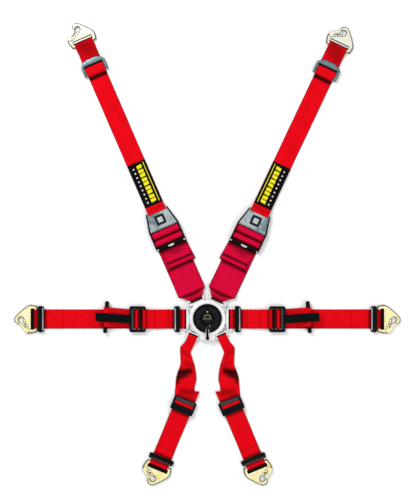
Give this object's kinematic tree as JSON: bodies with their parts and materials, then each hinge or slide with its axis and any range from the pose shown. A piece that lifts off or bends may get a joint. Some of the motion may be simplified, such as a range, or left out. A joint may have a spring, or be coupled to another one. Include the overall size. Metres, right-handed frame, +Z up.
{
  "type": "racing harness",
  "caption": "Racing harness laid flat: a rotary cam buckle joining shoulder, lap and leg straps of webbing, each with an adjuster and a snap hook with a spring gate.",
  "frame": {"origin": "centre of the buckle, on the plane the harness lies on", "axes": "+Z up out of the buckle's face, +Y towards the shoulder straps, +X to the right seen from above"},
  "size_m": [0.9948, 1.1921, 0.027],
  "materials": {
    "red_webbing": "woven",
    "crimson_webbing": "woven",
    "black_webbing": "woven",
    "black_felt": "matte",
    "yellow_zinc": "satin",
    "tongue_steel": "polished",
    "plain_steel": "satin",
    "grey_steel": "satin",
    "black_steel": "satin",
    "housing_alloy": "satin",
    "black_plastic": "matte"
  },
  "bodies": {
    "buckle": {"back_pad": "black_felt", "base_plate": "plain_steel", "housing_shell": "housing_alloy", "housing_screws": "plain_steel", "latch_star": "plain_steel", "return_spring": "plain_steel", "left_lap_tongue": "tongue_steel"},
    "dial": {"dial": "black_plastic", "release_lever": "black_plastic"},
    "left_shoulder_tongue": {"left_shoulder_tongue": "tongue_steel"},
    "left_shoulder_near": {"left_shoulder_lower_strap": "crimson_webbing"},
    "left_shoulder_far": {"left_shoulder_adjuster": "grey_steel", "left_shoulder_upper_strap": "red_webbing", "left_shoulder_top_slide": "grey_steel"},
    "left_shoulder_free_end": {"left_shoulder_tail": "crimson_webbing"},
    "left_shoulder_hook": {"left_shoulder_hook": "yellow_zinc"},
    "left_shoulder_gate": {"left_shoulder_gate": "yellow_zinc"},
    "right_shoulder_tongue": {"right_shoulder_tongue": "tongue_steel"},
    "right_shoulder_near": {"right_shoulder_lower_strap": "crimson_webbing"},
    "right_shoulder_far": {"right_shoulder_adjuster": "grey_steel", "right_shoulder_upper_strap": "red_webbing", "right_shoulder_top_slide": "grey_steel"},
    "right_shoulder_free_end": {"right_shoulder_tail": "crimson_webbing"},
    "right_shoulder_hook": {"right_shoulder_hook": "yellow_zinc"},
    "right_shoulder_gate": {"right_shoulder_gate": "yellow_zinc"},
    "left_lap_near": {"left_lap_inner_strap": "red_webbing", "left_lap_inner_slide": "black_steel", "left_lap_adjuster": "black_steel", "left_lap_grab_strap": "black_webbing"},
    "left_lap_far": {"left_lap_outer_strap": "red_webbing", "left_lap_outer_slide": "black_steel"},
    "left_lap_free_end": {"left_lap_tail": "red_webbing", "left_lap_pull_bar": "black_steel"},
    "left_lap_hook": {"left_lap_hook": "yellow_zinc"},
    "left_lap_gate": {"left_lap_gate": "yellow_zinc"},
    "right_lap_tongue": {"right_lap_tongue": "tongue_steel"},
    "right_lap_near": {"right_lap_inner_strap": "red_webbing", "right_lap_inner_slide": "black_steel", "right_lap_adjuster": "black_steel", "right_lap_grab_strap": "black_webbing"},
    "right_lap_far": {"right_lap_outer_strap": "red_webbing", "right_lap_outer_slide": "black_steel"},
    "right_lap_free_end": {"right_lap_tail": "red_webbing", "right_lap_pull_bar": "black_steel"},
    "right_lap_hook": {"right_lap_hook": "yellow_zinc"},
    "right_lap_gate": {"right_lap_gate": "yellow_zinc"},
    "left_leg_tongue": {"left_leg_tongue": "tongue_steel"},
    "left_leg_near": {"left_leg_inner_strap": "red_webbing"},
    "left_leg_far": {"left_leg_adjuster": "black_steel", "left_leg_outer_strap": "red_webbing", "left_leg_slide": "black_steel"},
    "left_leg_hook": {"left_leg_hook": "yellow_zinc"},
    "left_leg_gate": {"left_leg_gate": "yellow_zinc"},
    "right_leg_tongue": {"right_leg_tongue": "tongue_steel"},
    "right_leg_near": {"right_leg_inner_strap": "red_webbing"},
    "right_leg_far": {"right_leg_adjuster": "black_steel", "right_leg_outer_strap": "red_webbing", "right_leg_slide": "black_steel"},
    "right_leg_hook": {"right_leg_hook": "yellow_zinc"},
    "right_leg_gate": {"right_leg_gate": "yellow_zinc"}
  },
  "joints": [
    {"name": "dial_turn", "type": "hinge", "parent": "buckle", "child": "dial", "pos_m": [0, 0, 0.02], "axis": [0, 0, 1], "range_deg": [-45, 45], "stiffness_Nm_per_rad": 0.05, "deforming": ["latch_star", "return_spring"]},
    {"name": "left_shoulder_tongue_release", "type": "slide", "parent": "buckle", "child": "left_shoulder_tongue", "axis": [-0.3971, 0.9178, 0], "range_m": [0, 0.045]},
    {"name": "left_shoulder_swing", "type": "hinge", "parent": "left_shoulder_tongue", "child": "left_shoulder_near", "pos_m": [-0.03199, 0.04782, 0.0065], "axis": [0.9178, 0.3971, 0], "range_deg": [0, 80]},
    {"name": "left_shoulder_adjust", "type": "slide", "parent": "left_shoulder_near", "child": "left_shoulder_far", "axis": [0.3971, -0.9178, 0], "range_m": [0, 0.03]},
    {"name": "left_shoulder_free_end_run", "type": "slide", "parent": "left_shoulder_far", "child": "left_shoulder_free_end", "axis": [0.3971, -0.9178, 0], "range_m": [0, 0.03]},
    {"name": "left_shoulder_hook_swing", "type": "hinge", "parent": "left_shoulder_far", "child": "left_shoulder_hook", "pos_m": [-0.31889, 0.7108, 0.0046], "axis": [0.9178, 0.3971, 0], "range_deg": [0, 80]},
    {"name": "left_shoulder_gate_open", "type": "hinge", "parent": "left_shoulder_hook", "child": "left_shoulder_gate", "pos_m": [-0.35253, 0.71804, 0.006], "axis": [0, 0, 1], "range_deg": [-25, 0], "stiffness_Nm_per_rad": 0.02},
    {"name": "right_shoulder_tongue_release", "type": "slide", "parent": "buckle", "child": "right_shoulder_tongue", "axis": [0.4274, 0.9041, 0], "range_m": [0, 0.045]},
    {"name": "right_shoulder_swing", "type": "hinge", "parent": "right_shoulder_tongue", "child": "right_shoulder_near", "pos_m": [0.02837, 0.0471, 0.0065], "axis": [0.9041, -0.4274, 0], "range_deg": [0, 80]},
    {"name": "right_shoulder_adjust", "type": "slide", "parent": "right_shoulder_near", "child": "right_shoulder_far", "axis": [-0.4274, -0.9041, 0], "range_m": [0, 0.03]},
    {"name": "right_shoulder_free_end_run", "type": "slide", "parent": "right_shoulder_far", "child": "right_shoulder_free_end", "axis": [-0.4274, -0.9041, 0], "range_m": [0, 0.03]},
    {"name": "right_shoulder_hook_swing", "type": "hinge", "parent": "right_shoulder_far", "child": "right_shoulder_hook", "pos_m": [0.33709, 0.70021, 0.0046], "axis": [0.9041, -0.4274, 0], "range_deg": [0, 80]},
    {"name": "right_shoulder_gate_open", "type": "hinge", "parent": "right_shoulder_hook", "child": "right_shoulder_gate", "pos_m": [0.32032, 0.73026, 0.006], "axis": [0, 0, 1], "range_deg": [-25, 0], "stiffness_Nm_per_rad": 0.02},
    {"name": "left_lap_swing", "type": "hinge", "parent": "buckle", "child": "left_lap_near", "pos_m": [-0.0601, -0.0025, 0.0065], "axis": [0, 1, 0], "range_deg": [0, 80]},
    {"name": "left_lap_adjust", "type": "slide", "parent": "left_lap_near", "child": "left_lap_far", "axis": [1, 0, 0], "range_m": [0, 0.04]},
    {"name": "left_lap_free_end_run", "type": "slide", "parent": "left_lap_near", "child": "left_lap_free_end", "axis": [-1, 0, 0], "range_m": [0, 0.04]},
    {"name": "left_lap_hook_swing", "type": "hinge", "parent": "left_lap_far", "child": "left_lap_hook", "pos_m": [-0.4436, -0.0025, 0.0046], "axis": [0, 1, 0], "range_deg": [0, 80]},
    {"name": "left_lap_gate_open", "type": "hinge", "parent": "left_lap_hook", "child": "left_lap_gate", "pos_m": [-0.4636, -0.0305, 0.006], "axis": [0, 0, 1], "range_deg": [-25, 0], "stiffness_Nm_per_rad": 0.02},
    {"name": "right_lap_tongue_release", "type": "slide", "parent": "buckle", "child": "right_lap_tongue", "axis": [1, 0, 0], "range_m": [0, 0.045]},
    {"name": "right_lap_swing", "type": "hinge", "parent": "right_lap_tongue", "child": "right_lap_near", "pos_m": [0.0601, -0.0025, 0.0065], "axis": [0, -1, 0], "range_deg": [0, 80]},
    {"name": "right_lap_adjust", "type": "slide", "parent": "right_lap_near", "child": "right_lap_far", "axis": [-1, 0, 0], "range_m": [0, 0.04]},
    {"name": "right_lap_free_end_run", "type": "slide", "parent": "right_lap_near", "child": "right_lap_free_end", "axis": [1, 0, 0], "range_m": [0, 0.04]},
    {"name": "right_lap_hook_swing", "type": "hinge", "parent": "right_lap_far", "child": "right_lap_hook", "pos_m": [0.4436, -0.0025, 0.0046], "axis": [0, -1, 0], "range_deg": [0, 80]},
    {"name": "right_lap_gate_open", "type": "hinge", "parent": "right_lap_hook", "child": "right_lap_gate", "pos_m": [0.4636, -0.0305, 0.006], "axis": [0, 0, 1], "range_deg": [0, 25], "stiffness_Nm_per_rad": 0.02},
    {"name": "left_leg_tongue_release", "type": "slide", "parent": "buckle", "child": "left_leg_tongue", "axis": [-0.4019, -0.9157, 0], "range_m": [0, 0.045]},
    {"name": "left_leg_swing", "type": "hinge", "parent": "left_leg_tongue", "child": "left_leg_near", "pos_m": [-0.03754, -0.04627, 0.0065], "axis": [-0.9157, 0.4019, 0], "range_deg": [0, 45]},
    {"name": "left_leg_adjust", "type": "slide", "parent": "left_leg_near", "child": "left_leg_far", "axis": [0.3811, 0.9245, 0], "range_m": [0, 0.02]},
    {"name": "left_leg_hook_swing", "type": "hinge", "parent": "left_leg_far", "child": "left_leg_hook", "pos_m": [-0.12564, -0.3804, 0.0046], "axis": [-0.9245, 0.3811, 0], "range_deg": [0, 80]},
    {"name": "left_leg_gate_open", "type": "hinge", "parent": "left_leg_hook", "child": "left_leg_gate", "pos_m": [-0.15915, -0.38822, 0.006], "axis": [0, 0, 1], "range_deg": [0, 25], "stiffness_Nm_per_rad": 0.02},
    {"name": "right_leg_tongue_release", "type": "slide", "parent": "buckle", "child": "right_leg_tongue", "axis": [0.4019, -0.9157, 0], "range_m": [0, 0.045]},
    {"name": "right_leg_swing", "type": "hinge", "parent": "right_leg_tongue", "child": "right_leg_near", "pos_m": [0.03754, -0.04627, 0.0065], "axis": [-0.9157, -0.4019, 0], "range_deg": [0, 45]},
    {"name": "right_leg_adjust", "type": "slide", "parent": "right_leg_near", "child": "right_leg_far", "axis": [-0.3811, 0.9245, 0], "range_m": [0, 0.02]},
    {"name": "right_leg_hook_swing", "type": "hinge", "parent": "right_leg_far", "child": "right_leg_hook", "pos_m": [0.12564, -0.3804, 0.0046], "axis": [-0.9245, -0.3811, 0], "range_deg": [0, 80]},
    {"name": "right_leg_gate_open", "type": "hinge", "parent": "right_leg_hook", "child": "right_leg_gate", "pos_m": [0.15915, -0.38822, 0.006], "axis": [0, 0, 1], "range_deg": [-25, 0], "stiffness_Nm_per_rad": 0.02}
  ],
  "couplings": [
    {"joint": "left_shoulder_free_end_run", "follows": "left_shoulder_adjust", "ratio": 1},
    {"joint": "right_shoulder_free_end_run", "follows": "right_shoulder_adjust", "ratio": 1},
    {"joint": "left_lap_free_end_run", "follows": "left_lap_adjust", "ratio": 1},
    {"joint": "right_lap_free_end_run", "follows": "right_lap_adjust", "ratio": 1}
  ]
}
